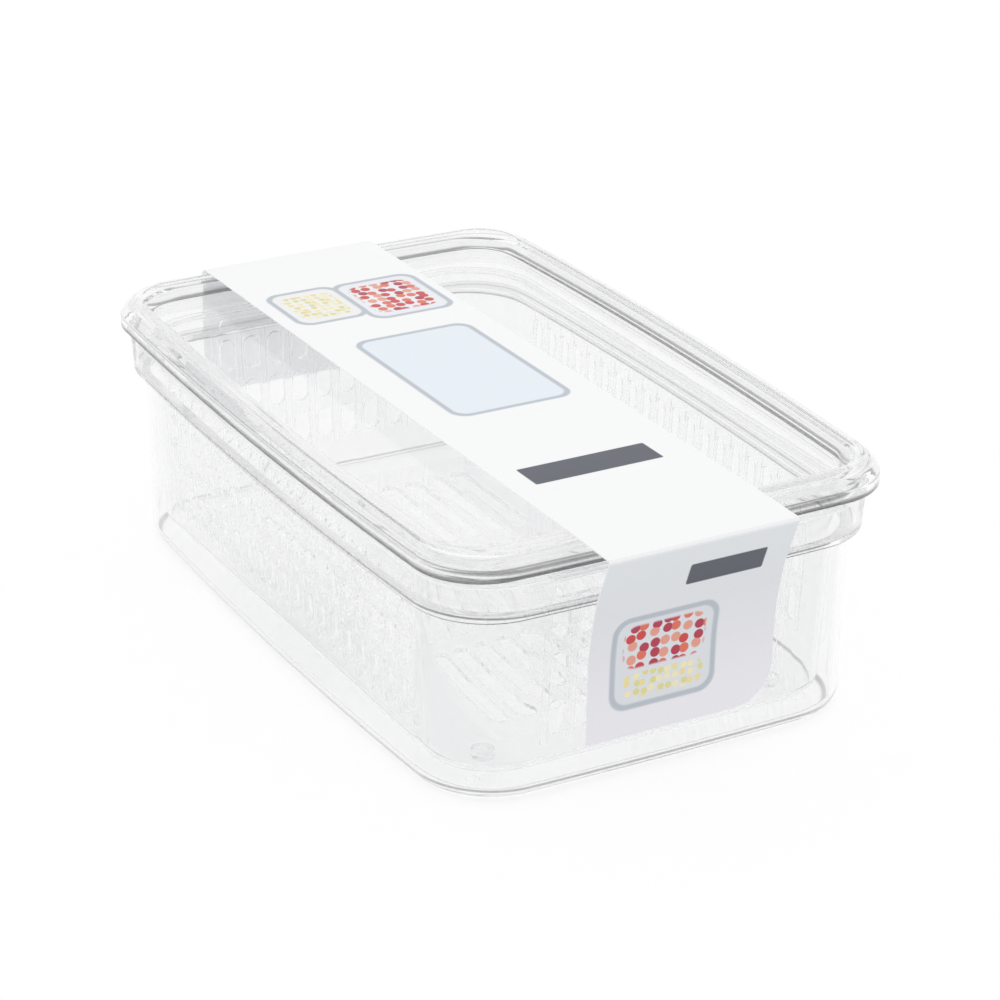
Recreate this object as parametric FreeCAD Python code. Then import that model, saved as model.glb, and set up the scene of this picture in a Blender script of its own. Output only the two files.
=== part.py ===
import FreeCAD, Part
import math
import os

os.makedirs("parts", exist_ok=True)

# Clear vegetable storage container: a tub, a slotted strainer basket, a lid and a card sleeve
# Overall sizes of the closed container, in millimetres
LENGTH = 310.0
WIDTH = 200.0
HEIGHT = 105.0
LONG_SIDE_BOW = 4.9
SHORT_SIDE_BOW = 1.7

# Tub: a lower wall, a ledge and a wider band up to the rim
TUB_WALL = 2.6
TUB_FLOOR = 2.6
FOOT_HEIGHT = 0.8
FOOT_DIAMETER = 5.5
FOOT_INSET = 29.0
WALL_INSET_BASE = 6.7
WALL_INSET_TOP = 6.3
WALL_CORNER = 33.0
BASE_FILLET = 7.0
LEDGE_FILLET = 1.4
BAND_DEPTH = 18.3
BAND_INSET_BASE = 3.2
BAND_INSET_RIM = 2.0
BAND_CORNER = 31.6

# Lid: a lip on the rim, a hollow raised frame, a sunken panel and a skirt inside the rim
LID_RISE = 11.5
LID_WALL = 2.4
LID_CORNER = 27.0
LIP_DEPTH = 4.8
LIP_FILLET = 2.0
FRAME_INSET_FOOT = 2.8
FRAME_INSET_CREST = 5.0
CREST_WIDTH = 3.6
CREST_FILLET = 1.5
PANEL_INSET = 13.3
PANEL_DROP = 7.0
PANEL_FILLET = 2.0
SKIRT_DEPTH = 5.3
SKIRT_WALL = 2.0
SKIRT_CLEARANCE = 0.4

# Strainer basket: tapered walls with columns of slots between upright ribs
BASKET_WALL = 2.0
BASKET_FLOOR = 2.0
BASKET_FOOT_HEIGHT = 4.0
BASKET_FOOT_DIAMETER = 9.0
BASKET_FOOT_INSET = 38.0
BASKET_GAP_SIDE = 4.1
BASKET_GAP_END = 2.5
BASKET_TAPER = 4.2
BASKET_CORNER = 30.0
BASKET_FILLET = 6.0
BASKET_LID_GAP = 0.6
RIM_FLANGE = 2.4
RIM_FLANGE_DEPTH = 2.2
SLOT_WIDTH = 7.4
SLOT_PITCH = 11.2
SLOT_BRIDGE = 5.2
SLOT_ROWS = 3
LONG_SIDE_COLUMNS = 19
SHORT_END_COLUMNS = 9
SLOT_END_SIDES = 3
FIELD_RISE = 11.2
FIELD_DROP = 10.8
RIB_WIDTH = 2.6
RIB_DEPTH = 0.7
FINGER_HOLE_LENGTH = 96.0
FINGER_HOLE_HEIGHT = 6.6
FINGER_HOLE_DROP = 7.1
FLOOR_SLOT_LENGTH = 62.0
FLOOR_SLOT_PITCH = 72.0
FLOOR_SLOT_ROWS = 3
FLOOR_SLOT_COLUMNS = 9

# Card sleeve: a strip over the lid with a flap down each short end
CARD = 0.5
SLEEVE_WIDTH = 78.4
SLEEVE_GAP = 0.3
SLEEVE_SHIFT_BACK = -11.0
SLEEVE_SHIFT_FRONT = -6.8
CREASE_STANDOFF = 16.2
CREASE_DROP = 0.6
FLAP_STANDOFF = 6.4
FLAP_BEND_DROP = 43.0
FLAP_LEAN_DROP = 10.0
FLAP_LEAN_STANDOFF = 15.2
FRONT_FLAP_DROP = 79.0
BACK_FLAP_DROP = 59.0
FLAP_CORNER = 16.0

# Working allowance for cuts, and straight steps in a rounded edge
OVERRUN = 5.0
EASE_STEPS = 2


def at(x, y, z):
    """Point in the container's own frame."""
    return FreeCAD.Vector(x, y, z)


def bow_radius(half_span, bow):
    """Radius of a side that bulges by the bow over the half span."""
    return (half_span * half_span + bow * bow) / (2 * bow)


def family(inset, corner):
    """Centres and radii of eight tangent arcs, set in from the lid's edge; offsets share the centres."""
    half_x = WIDTH / 2 - inset
    half_y = LENGTH / 2 - inset
    long_r = bow_radius(half_y, LONG_SIDE_BOW)
    short_r = bow_radius(half_x, SHORT_SIDE_BOW)
    long_x = half_x - long_r
    short_y = half_y - short_r
    reach_long = long_r - corner
    reach_short = short_r - corner
    span = math.hypot(long_x, short_y)
    along = (reach_long ** 2 - reach_short ** 2 + span ** 2) / (2 * span)
    across = math.sqrt(reach_long ** 2 - along ** 2)
    corner_x = long_x - (along * long_x + across * short_y) / span
    corner_y = (along * short_y - across * long_x) / span
    turn_long = math.atan2(corner_y, corner_x - long_x)
    turn_short = math.atan2(corner_y - short_y, corner_x)
    return {"inset": inset, "long": (long_x, 0, long_r), "short": (0, short_y, short_r),
            "corner": (corner_x, corner_y, corner), "turns": (turn_long, turn_short)}


def flat_family(inset, half_x, half_y, corner):
    """Straight-sided outlines with round corners; offsets share the corners' centres."""
    return {"inset": inset, "corner": (half_x - corner, half_y - corner, corner), "turns": (0, math.pi / 2)}


def outline(kin, inset, height):
    """Level outline of a family at an inset, a true offset of its first outline."""
    growth = kin["inset"] - inset
    turn_long, turn_short = kin["turns"]

    def on(arc, turn):
        centre_x, centre_y, radius = kin[arc]
        reach = radius + growth
        return (centre_x + reach * math.cos(turn), centre_y + reach * math.sin(turn))
    bowed = "long" in kin
    side_stop = on("corner", turn_long)
    mid = on("corner", (turn_long + turn_short) / 2)
    end_stop = on("corner", turn_short)
    side = on("long", 0) if bowed else (side_stop[0], 0)
    end = on("short", math.pi / 2) if bowed else (0, end_stop[1])
    quarter = [side, side_stop, mid, end_stop, end]
    upper = quarter + [(-x, y) for x, y in quarter[-2::-1]]
    stops = upper + [(x, -y) for x, y in upper[-2:0:-1]]
    points = [at(x, y, height) for x, y in stops]
    points = points[-1:] + points
    edges = []
    for first in range(0, len(stops), 2):
        start, middle, stop = points[first:first + 3]
        straight = not bowed and first % 4 == 0
        edges.append(Part.makeLine(start, stop) if straight else Part.Arc(start, middle, stop).toShape())
    return Part.Wire(edges)


def stack(kin, *rings):
    """Solid with straight sides through outlines of one family, given as inset and height."""
    return Part.makeLoft([outline(kin, *ring) for ring in rings], True, True)


def eased(before, corner, after, radius):
    """Points of a rounded corner of a section, each an inset and a height, in a few straight steps."""
    point = at(*corner, 0)
    back = (at(*before, 0) - point).normalize()
    ahead = (at(*after, 0) - point).normalize()
    half = back.getAngle(ahead) / 2
    middle = point + (back + ahead).normalize() * (radius / math.sin(half))
    spoke = point + back * (radius / math.tan(half)) - middle
    across = point + ahead * (radius / math.tan(half)) - middle
    sweep = math.pi - 2 * half
    points = []
    for step in range(EASE_STEPS + 1):
        share = step / EASE_STEPS
        early = math.sin((1 - share) * sweep) / math.sin(sweep)
        late = math.sin(share * sweep) / math.sin(sweep)
        spot = middle + spoke * early + across * late
        points.append((spot.x, spot.y))
    return points


def peg(x, y, diameter, low, high):
    """Upright round peg."""
    return Part.makeCylinder(diameter / 2, high - low, at(x, y, low))


def four_pegs(inset, diameter, low, high):
    """Pegs near the four corners."""
    x = WIDTH / 2 - inset
    y = LENGTH / 2 - inset
    return [peg(sx * x, sy * y, diameter, low, high) for sx in (-1, 1) for sy in (-1, 1)]


def spread(count, pitch):
    """Places of a row of equal pitch about zero."""
    return [(index - (count - 1) / 2) * pitch for index in range(count)]


def beside(places, pitch):
    """Places half a pitch to either side of every place of a row."""
    return [places[0] - pitch / 2] + [place + pitch / 2 for place in places]


def slot_outline(width, length):
    """Corners of an upright slot with round ends, about its own centre."""
    radius = width / 2
    straight = length / 2 - radius
    corners = []
    for end in (1, -1):
        for step in range(SLOT_END_SIDES + 1):
            turn = math.pi * step / SLOT_END_SIDES
            corners.append((end * radius * math.cos(turn), end * (straight + radius * math.sin(turn))))
    return corners


def prism(corners, direction):
    """Solid from a ring of points moved along a direction."""
    ring = Part.makePolygon(corners + corners[:1])
    return Part.Face(ring).extrude(direction)


# Heights and insets that follow from the driving sizes
rim_height = HEIGHT - LID_RISE
ledge_height = rim_height - BAND_DEPTH
tub_floor_top = FOOT_HEIGHT + TUB_FLOOR
ledge_top = ledge_height + TUB_WALL
lip_top = rim_height + LIP_DEPTH
panel_top = HEIGHT - PANEL_DROP
panel_under = panel_top - LID_WALL
skirt_bottom = rim_height - SKIRT_DEPTH
band_lean = (BAND_INSET_BASE - BAND_INSET_RIM) / BAND_DEPTH
skirt_inset = BAND_INSET_RIM + band_lean * SKIRT_DEPTH + TUB_WALL + SKIRT_CLEARANCE
basket_rim = skirt_bottom - BASKET_LID_GAP
basket_base = tub_floor_top + BASKET_FOOT_HEIGHT
basket_floor_top = basket_base + BASKET_FLOOR
basket_half_x = WIDTH / 2 - WALL_INSET_TOP - TUB_WALL - BASKET_GAP_SIDE
basket_half_y = LENGTH / 2 - WALL_INSET_TOP - TUB_WALL - BASKET_GAP_END
basket_form = flat_family(0, basket_half_x, basket_half_y, BASKET_CORNER)
wall_zone = WIDTH / 2 - basket_half_x + BASKET_TAPER + BASKET_WALL + OVERRUN
field_low = basket_base + FIELD_RISE
field_high = basket_rim - FIELD_DROP
slot_row_pitch = (field_high - field_low) / SLOT_ROWS
slot_length = slot_row_pitch - SLOT_BRIDGE
flap_bend = HEIGHT - FLAP_BEND_DROP
flap_lean_top = HEIGHT - FLAP_LEAN_DROP
front_flap_bottom = HEIGHT - FRONT_FLAP_DROP
back_flap_bottom = HEIGHT - BACK_FLAP_DROP


def make_tub():
    """Tub with a stepped wall, a rounded base and four low feet."""
    wall = family(WALL_INSET_TOP, WALL_CORNER)
    rim = family(BAND_INSET_RIM, BAND_CORNER)
    base_edge = (WALL_INSET_BASE, FOOT_HEIGHT)
    wall_top = (WALL_INSET_TOP, ledge_height)
    lower = stack(wall, *eased((WIDTH, FOOT_HEIGHT), base_edge, wall_top, BASE_FILLET), wall_top)
    band_edge = (BAND_INSET_BASE, ledge_height)
    band_top = (BAND_INSET_RIM, rim_height)
    band = stack(rim, *eased((WIDTH, ledge_height), band_edge, band_top, LEDGE_FILLET), band_top)
    floor_edge = (WALL_INSET_BASE + TUB_WALL, tub_floor_top)
    hollow_top = (WALL_INSET_TOP + TUB_WALL, ledge_top + OVERRUN)
    floor_turn = eased((WIDTH, tub_floor_top), floor_edge, hollow_top, BASE_FILLET - TUB_WALL)
    hollow = stack(wall, *floor_turn, hollow_top)
    mouth = stack(rim, (BAND_INSET_BASE + TUB_WALL, ledge_top), (BAND_INSET_RIM + TUB_WALL, rim_height),
                  (BAND_INSET_RIM + TUB_WALL, rim_height + OVERRUN))
    feet = four_pegs(FOOT_INSET, FOOT_DIAMETER, 0, tub_floor_top - TUB_FLOOR / 2)
    shell = lower.fuse(band).cut([hollow, mouth])
    return shell.fuse(feet).removeSplitter()


def make_lid():
    """Lid with a rounded lip, a hollow frame round a sunken panel, and a locating skirt."""
    edge = family(0, LID_CORNER)
    lip = stack(edge, *eased((WIDTH, rim_height), (0, rim_height), (0, lip_top), LIP_FILLET),
                *eased((0, rim_height), (0, lip_top), (WIDTH, lip_top), LIP_FILLET))
    frame_foot = (FRAME_INSET_FOOT, lip_top)
    crest_outer = (FRAME_INSET_CREST, HEIGHT)
    crest_inner = (FRAME_INSET_CREST + CREST_WIDTH, HEIGHT)
    panel_edge = (PANEL_INSET, panel_top)
    frame = stack(edge, (FRAME_INSET_FOOT, rim_height), frame_foot,
                  *eased(frame_foot, crest_outer, crest_inner, CREST_FILLET))
    crest_turn = eased(panel_edge, crest_inner, crest_outer, CREST_FILLET)
    recess = stack(edge, *eased((WIDTH, panel_top), panel_edge, crest_inner, PANEL_FILLET), *crest_turn,
                   (crest_turn[-1][0], HEIGHT + OVERRUN))
    rim = family(BAND_INSET_RIM, BAND_CORNER)
    skirt_inner = skirt_inset + SKIRT_WALL
    skirt = stack(rim, (skirt_inset, skirt_bottom), (skirt_inset, panel_under))
    pocket = stack(rim, (skirt_inner, skirt_bottom - OVERRUN), (skirt_inner, panel_under))
    groove_top = HEIGHT - LID_WALL
    groove_inner_top = skirt_inner + LID_WALL / 2
    core_inset = PANEL_INSET - LID_WALL
    groove = stack(rim, (skirt_inner, panel_under - OVERRUN / 2), (skirt_inner, groove_top))
    core = stack(edge, (core_inset, panel_under - OVERRUN), (core_inset, panel_under),
                 (groove_inner_top, groove_top), (groove_inner_top, groove_top + OVERRUN))
    top = lip.fuse(frame).cut(recess)
    return top.fuse(skirt).cut([pocket, groove.cut(core)]).removeSplitter()


def basket_inset(height):
    """Inset of the tapered basket wall from its rim, at a height."""
    return BASKET_TAPER * (basket_rim - height) / (basket_rim - basket_base)


def basket_form_solid(growth, low, high, fillet=0):
    """Tapered basket form, grown outwards, between two heights, its lower edge rounded if asked."""
    bottom = (basket_inset(low) - growth, low)
    top = (basket_inset(high) - growth, high)
    rings = eased((WIDTH, low), bottom, top, fillet) if fillet else [bottom]
    return stack(basket_form, *rings, top)


def wall_bars(places, corners, along_length):
    """Bars of one section through one pair of walls; the section lies across the wall."""
    bars = []
    for side in (-1, 1):
        for place, height in places:
            if along_length:
                start = (side * WIDTH / 2, 0)
                move = at(-side * wall_zone, 0, 0)
                ring = [at(start[0], place + u, height + v) for u, v in corners]
            else:
                start = (0, side * LENGTH / 2)
                move = at(0, -side * wall_zone, 0)
                ring = [at(place + u, start[1], height + v) for u, v in corners]
            bars.append(prism(ring, move))
    return bars


def wall_slots():
    """Slots through the long sides and the short ends."""
    middle = (field_low + field_high) / 2
    heights = [middle + offset for offset in spread(SLOT_ROWS, slot_row_pitch)]
    corners = slot_outline(SLOT_WIDTH, slot_length)
    long_places = [(y, z) for z in heights for y in spread(LONG_SIDE_COLUMNS, SLOT_PITCH)]
    short_places = [(x, z) for z in heights for x in spread(SHORT_END_COLUMNS, SLOT_PITCH)]
    return wall_bars(long_places, corners, True) + wall_bars(short_places, corners, False)


def floor_slots():
    """Slots through the basket's floor."""
    corners = slot_outline(SLOT_WIDTH, FLOOR_SLOT_LENGTH)
    cutters = []
    for x in spread(FLOOR_SLOT_COLUMNS, SLOT_PITCH):
        for y in spread(FLOOR_SLOT_ROWS, FLOOR_SLOT_PITCH):
            ring = [at(x + u, y + v, tub_floor_top) for u, v in corners]
            cutters.append(prism(ring, at(0, 0, basket_floor_top - tub_floor_top + OVERRUN)))
    return cutters


def finger_holes():
    """Long low hole through both short ends, under the rim."""
    upright = slot_outline(FINGER_HOLE_HEIGHT, FINGER_HOLE_LENGTH)
    lying = [(v, u) for u, v in upright]
    return wall_bars([(0, basket_rim - FINGER_HOLE_DROP)], lying, False)


def wall_ribs():
    """Upright ribs beside every column of slots."""
    half = RIB_WIDTH / 2
    corners = [(-half, field_low), (half, field_low), (half, field_high), (-half, field_high)]
    long_places = [(y, 0) for y in beside(spread(LONG_SIDE_COLUMNS, SLOT_PITCH), SLOT_PITCH)]
    short_places = [(x, 0) for x in beside(spread(SHORT_END_COLUMNS, SLOT_PITCH), SLOT_PITCH)]
    bars = wall_bars(long_places, corners, True) + wall_bars(short_places, corners, False)
    core = basket_form_solid(-BASKET_WALL / 2, field_low, field_high)
    skin = basket_form_solid(RIB_DEPTH, field_low, field_high).cut(core)
    return skin.common(Part.makeCompound(bars)).Solids


def make_basket():
    """Strainer basket with a turned-out rim, slotted walls and floor, and four feet."""
    outside = basket_form_solid(0, basket_base, basket_rim, BASKET_FILLET)
    inner_fillet = BASKET_FILLET - BASKET_WALL
    inside = basket_form_solid(-BASKET_WALL, basket_floor_top, basket_rim + OVERRUN, inner_fillet)
    flange = stack(basket_form, (-RIM_FLANGE, basket_rim - RIM_FLANGE_DEPTH), (-RIM_FLANGE, basket_rim))
    feet = four_pegs(BASKET_FOOT_INSET, BASKET_FOOT_DIAMETER, tub_floor_top, basket_base + BASKET_FLOOR / 2)
    body = outside.fuse([flange] + wall_ribs()).cut(inside)
    body = body.cut(wall_slots() + floor_slots() + finger_holes())
    return body.fuse(feet).removeSplitter()


def strip_section(points):
    """Section of a bent card: the inner line and the same line one card thickness out."""
    normals = []
    for first, second in zip(points, points[1:]):
        run = (second - first).normalize()
        normals.append(at(0, -run.z, run.y))
    outer = [points[0] + normals[0] * CARD]
    for before, after, point in zip(normals, normals[1:], points[1:]):
        outer.append(point + (before + after) * (CARD / (1 + before.dot(after))))
    outer.append(points[-1] + normals[-1] * CARD)
    return points + outer[::-1]


def flap_corner(side, y, bottom):
    """Cutter that rounds one lower corner of a flap standing at y; side is the way out along X."""
    edge = sleeve_centre(y) + side * SLEEVE_WIDTH / 2
    centre_x = edge - side * FLAP_CORNER
    size = FLAP_CORNER + OVERRUN
    depth = OVERRUN + CARD + OVERRUN
    low = at(min(centre_x, centre_x + side * size), y - depth / 2, bottom - OVERRUN)
    block = Part.makeBox(size, depth, size, low)
    middle = at(centre_x, y - depth / 2, bottom + FLAP_CORNER)
    return block.cut(Part.makeCylinder(FLAP_CORNER, depth, middle, at(0, 1, 0)))


def sleeve_centre(y):
    """Middle of the sleeve's width; the sleeve lies a little askew."""
    share = (y + LENGTH / 2) / LENGTH
    return SLEEVE_SHIFT_FRONT + (SLEEVE_SHIFT_BACK - SLEEVE_SHIFT_FRONT) * share


def make_sleeve():
    """Card sleeve: strip over the lid's crest, a loose front crease and a flap at each end."""
    front = -LENGTH / 2
    back = LENGTH / 2 + SLEEVE_GAP
    strip = HEIGHT + SLEEVE_GAP
    crest = LENGTH / 2 - FRAME_INSET_CREST
    crease_y = front - CREASE_STANDOFF
    path = [at(0, front - FLAP_STANDOFF, front_flap_bottom), at(0, front - FLAP_STANDOFF, flap_bend),
            at(0, front - FLAP_LEAN_STANDOFF, flap_lean_top), at(0, crease_y, strip - CREASE_DROP),
            at(0, -crest, strip), at(0, crest, strip), at(0, back, lip_top + SLEEVE_GAP),
            at(0, back, back_flap_bottom)]
    section = [point + at(-WIDTH / 2, 0, 0) for point in strip_section(path)]
    sheet = prism(section, at(WIDTH, 0, 0))
    ends = (crease_y - OVERRUN, back + OVERRUN)
    sides = ((ends[0], -1), (ends[0], 1), (ends[1], 1), (ends[1], -1))
    plan = [at(sleeve_centre(y) + side * SLEEVE_WIDTH / 2, y, 0) for y, side in sides]
    sheet = sheet.common(prism(plan, at(0, 0, HEIGHT + OVERRUN)))
    return sheet.cut([flap_corner(1, front - FLAP_STANDOFF, front_flap_bottom),
                      flap_corner(-1, back, back_flap_bottom)])


PIECES = {"tub": make_tub, "strainer_basket": make_basket, "lid": make_lid, "card_sleeve": make_sleeve}

for node, make in PIECES.items():
    piece = make()
    solids = piece.Solids
    print(node, "solids", len(solids), "valid", piece.isValid(), "volume", round(piece.Volume))
    solids[0].exportStep(f"parts/{node}.step")
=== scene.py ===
import math

import bmesh
import bpy
from mathutils import Matrix, Vector
from mathutils.kdtree import KDTree


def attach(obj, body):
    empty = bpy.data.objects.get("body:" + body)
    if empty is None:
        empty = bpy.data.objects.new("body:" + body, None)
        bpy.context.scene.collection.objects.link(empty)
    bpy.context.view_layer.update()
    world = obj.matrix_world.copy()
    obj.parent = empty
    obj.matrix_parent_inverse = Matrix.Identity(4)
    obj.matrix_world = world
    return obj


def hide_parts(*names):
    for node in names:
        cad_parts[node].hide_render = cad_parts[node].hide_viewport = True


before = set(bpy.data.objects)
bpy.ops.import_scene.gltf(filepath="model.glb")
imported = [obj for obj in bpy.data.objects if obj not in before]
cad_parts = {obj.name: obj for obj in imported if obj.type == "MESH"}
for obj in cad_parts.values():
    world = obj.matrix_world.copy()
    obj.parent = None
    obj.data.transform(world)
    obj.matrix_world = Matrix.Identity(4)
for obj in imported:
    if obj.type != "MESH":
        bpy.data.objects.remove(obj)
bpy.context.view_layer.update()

MM = 0.001
# Pieces that are joined to a surface go this far into it
SINK = 0.02

# Sizes shared by all the pieces, in millimetres
LENGTH = 310.0
WIDTH = 200.0
HEIGHT = 105.0
LONG_SIDE_BOW = 4.9
SHORT_SIDE_BOW = 1.7

# Tub
TUB_WALL = 2.6
FOOT_HEIGHT = 0.8
FOOT_RADIUS = 2.75
FOOT_INSET = 29.0
TUB_FLOOR_TOP = 3.4
WALL_INSET_BASE = 6.7
WALL_INSET_TOP = 6.3
WALL_CORNER = 33.0
BASE_FILLET = 7.0
BASE_MIDDLE_INSET = 30.0
LEDGE_HEIGHT = 75.2
LEDGE_FILLET = 1.4
LEDGE_ROOT_FILLET = 1.0
LEDGE_INNER_FILLET = 1.2
# Insets on either side of the seam between the wall's outlines and the band's
LEDGE_SEAM = (4.9, 4.7)
LEDGE_SEAM_INSIDE = (7.2, 7.4)
BAND_INSET_BASE = 3.2
BAND_INSET_RIM = 2.0
BAND_CORNER = 31.6
RIM_HEIGHT = 93.5
RIM_EASE = 0.6

# Lid
LID_CORNER = 27.0
LID_WALL = 2.4
LIP_TOP = 98.3
LIP_FILLET = 1.2
SHOULDER_INSET = 1.6
SHOULDER_TOP = 101.0
SHOULDER_FILLET = 3.0
FRAME_INSET_CREST = 6.2
CREST_INSET_INNER = 8.4
CREST_FILLET = 3.0
CREST_FILLET_INNER = 1.3
PANEL_INSET = 14.4
PANEL_TOP = 98.0
PANEL_FILLET = 2.4
PANEL_MIDDLE_INSET = 24.0
LIP_WALL = 1.9
LIP_FOOT_FILLETS = (0.8, 0.7)
HOLLOW_DROP = 0.6
HOLLOW_FILLETS = (1.2, 2.0)
HOLLOW_OFFSET = (1.5, 1.7)
ROOF = 101.0
# Inset and drop on either side of the seam between the lid's outlines and the rim's
ROOF_SEAM = ((4.7, 0.4), (5.0, 0.1))
ROOF_FILLETS = (0.3, 0.5)
ROOF_INNER_RISE = 0.6
SKIRT_INSET = 5.35
SKIRT_WALL = 2.0
SKIRT_BOTTOM = 88.2
SKIRT_EASE = 0.6
PANEL_UNDER_OFFSET = 1.8
PANEL_UNDER_FILLET = 1.5

# Strainer basket
BASKET_WALL = 2.0
BASKET_BASE = 7.4
BASKET_FLOOR_TOP = 9.4
BASKET_RIM = 87.6
BASKET_HALF_X = 87.0
BASKET_HALF_Y = 143.6
BASKET_TAPER = 4.2
BASKET_CORNER = 30.0
BASKET_FILLET = 6.0
BASKET_MIDDLE_INSET = 16.0
BASKET_FOOT_RADIUS = 4.5
BASKET_FOOT_INSET = 38.0
BASKET_FOOT_GAP = 0.05
RIM_FLANGE = 2.4
RIM_FLANGE_DEPTH = 2.2
FLANGE_EASE = 0.6
SLOT_WIDTH = 7.4
SLOT_LENGTH = 14.2
SLOT_PITCH = 11.2
ROW_PITCH = 19.4
ROWS = 3
LOWEST_ROW = 28.3
LONG_COLUMNS = 19
SHORT_COLUMNS = 9
RIB_WIDTH = 2.6
RIB_DEPTH = 0.7
HOLE_LENGTH = 96.0
HOLE_HEIGHT = 6.6
HOLE_CENTRE = 80.5
HOLE_ZONE_TOP = 84.2
HOLE_END_STEPS = 8
FLOOR_SLOT_LENGTH = 62.0
FLOOR_ROW_PITCH = 72.0
FLOOR_ROWS = 3
FLOOR_COLUMNS = 9

# Card sleeve
CARD = 0.5
SLEEVE_WIDTH = 78.4
SLEEVE_SHIFT_BACK = -11.0
SLEEVE_SHIFT_FRONT = -6.8
STRIP_HEIGHT = 105.3
FLAP_CORNER = 16.0
# Front flap as distance past the lid's end and height, from its foot to the fold
FRONT_FLAP = ((8.4, 27.0), (8.4, 34.0), (8.5, 48.0), (9.0, 62.0), (11.3, 76.0), (13.6, 85.0), (17.4, 95.0),
              (21.2, 104.4))
FOLD = (21.0, 104.8)
FOLD_REACH = 21.3
# Front of the strip: where it starts inside the lid's end, its run and its drop
FRONT_STRIP = (5.0, 20.0, 0.4)
FRONT_STRIP_SHARES = (1.0, 0.6, 0.3, 0.0)
STRIP_STOPS = (-120.0, -90.0, -60.0, -30.0, 0.0, 30.0, 60.0, 90.0, 120.0, 140.0)
# Back flap as place along the length and height: the bend over the lid's end, then heights to its foot
BACK_BEND = ((150.0, STRIP_HEIGHT), (151.8, 104.7), (153.8, 102.0), (155.0, 98.8), (155.3, 94.0))
BACK_FLAP_PLACE = 155.3
BACK_FLAP_STOPS = (86.0, 76.0, 68.0, 62.0, 58.0, 54.0, 51.0, 49.0, 47.5, 46.6, 46.0)
FLAP_STEPS = 5
BEND_STEPS = 3
CARD_STEPS = 20
# Print places are in units of so many millimetres
PRINT_UNIT = 100.0

# Camera found from the photograph's outlines
CAMERA_AZIMUTH = -29.275
CAMERA_ELEVATION = 24.321
CAMERA_ROLL = 0.583
CAMERA_DISTANCE = 1313.713
CAMERA_TARGET = (20.46, 18.853, 36.424)
CAMERA_LENS = 115.44
CAMERA_SENSOR = 36.0
CAMERA_FAR = 50.0
LIGHT_BOUNCES = 256


# Outlines: eight tangent arcs; the outlines of one family are true offsets of each other

STRAIGHT = 1.0e6
CORNERS = {"right": (1, 1), "back": (-1, 1), "left": (-1, -1), "front": (1, -1)}
WALLS = ("right", "back", "left", "front")
LONG_WALLS = ("right", "left")
CORNER_STEPS = 36
SIDE_STEPS = 20


def bow_radius(half_span, bow):
    """Radius of a side that bulges by the bow over the half span."""
    return (half_span * half_span + bow * bow) / (2 * bow)


def family(inset, corner):
    """Centres and radii of the arcs of one family of outlines."""
    half_x = WIDTH / 2 - inset
    half_y = LENGTH / 2 - inset
    long_r = bow_radius(half_y, LONG_SIDE_BOW)
    short_r = bow_radius(half_x, SHORT_SIDE_BOW)
    long_x = half_x - long_r
    short_y = half_y - short_r
    span = math.hypot(long_x, short_y)
    along = ((long_r - corner) ** 2 - (short_r - corner) ** 2 + span ** 2) / (2 * span)
    across = math.sqrt((long_r - corner) ** 2 - along ** 2)
    corner_x = long_x - (along * long_x + across * short_y) / span
    corner_y = (along * short_y - across * long_x) / span
    return {
        "inset": inset,
        "long": (long_x, long_r),
        "short": (short_y, short_r),
        "corner": (corner_x, corner_y, corner),
        "turns": (math.atan2(corner_y, corner_x - long_x),
                  math.atan2(corner_y - short_y, corner_x)),
    }


def flat_family(half_x, half_y, corner):
    """Outlines with straight sides, as arcs too wide to see, and round corners."""
    return {
        "inset": 0,
        "long": (half_x - STRAIGHT, STRAIGHT),
        "short": (half_y - STRAIGHT, STRAIGHT),
        "corner": (half_x - corner, half_y - corner, corner),
        "turns": (0, math.pi / 2),
    }


def long_reach(kin, inset, u):
    """Distance of a long side from the middle plane, at u along it."""
    centre, radius = kin["long"]
    return centre + math.sqrt((radius + kin["inset"] - inset) ** 2 - u * u)


def short_reach(kin, inset, u):
    """Distance of a short end from the middle plane, at u along it."""
    centre, radius = kin["short"]
    return centre + math.sqrt((radius + kin["inset"] - inset) ** 2 - u * u)


def wall_point(kin, wall, u, inset):
    """Plan point on one of the four walls; u runs to the right as seen from outside."""
    if wall == "right":
        return (long_reach(kin, inset, u), u)
    if wall == "left":
        return (-long_reach(kin, inset, u), -u)
    if wall == "back":
        return (-u, short_reach(kin, inset, u))
    return (u, -short_reach(kin, inset, u))


def corner_point(kin, signs, turn, inset):
    """Plan point on one of the four rounded corners."""
    x, y, radius = kin["corner"]
    reach = radius + kin["inset"] - inset
    return (signs[0] * (x + reach * math.cos(turn)), signs[1] * (y + reach * math.sin(turn)))


def corner_turns(kin, wall):
    """Turns along the corner that follows a wall, in the order of the ring."""
    low, high = kin["turns"]
    turns = [low + (high - low) * step / CORNER_STEPS for step in range(CORNER_STEPS + 1)]
    return turns if wall in LONG_WALLS else turns[::-1]


def plain_ring(kin, inset, z):
    """Closed ring of points, evenly spread on each wall and corner."""
    points = []
    for wall in WALLS:
        if wall in LONG_WALLS:
            end = kin["corner"][1] + kin["corner"][2] * math.sin(kin["turns"][0])
        else:
            end = kin["corner"][0] + kin["corner"][2] * math.cos(kin["turns"][1])
        for step in range(1, SIDE_STEPS):
            points.append(wall_point(kin, wall, -end + 2 * end * step / SIDE_STEPS, inset))
        for turn in corner_turns(kin, wall):
            points.append(corner_point(kin, CORNERS[wall], turn, inset))
    return [(x, y, z) for x, y in points]


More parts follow.
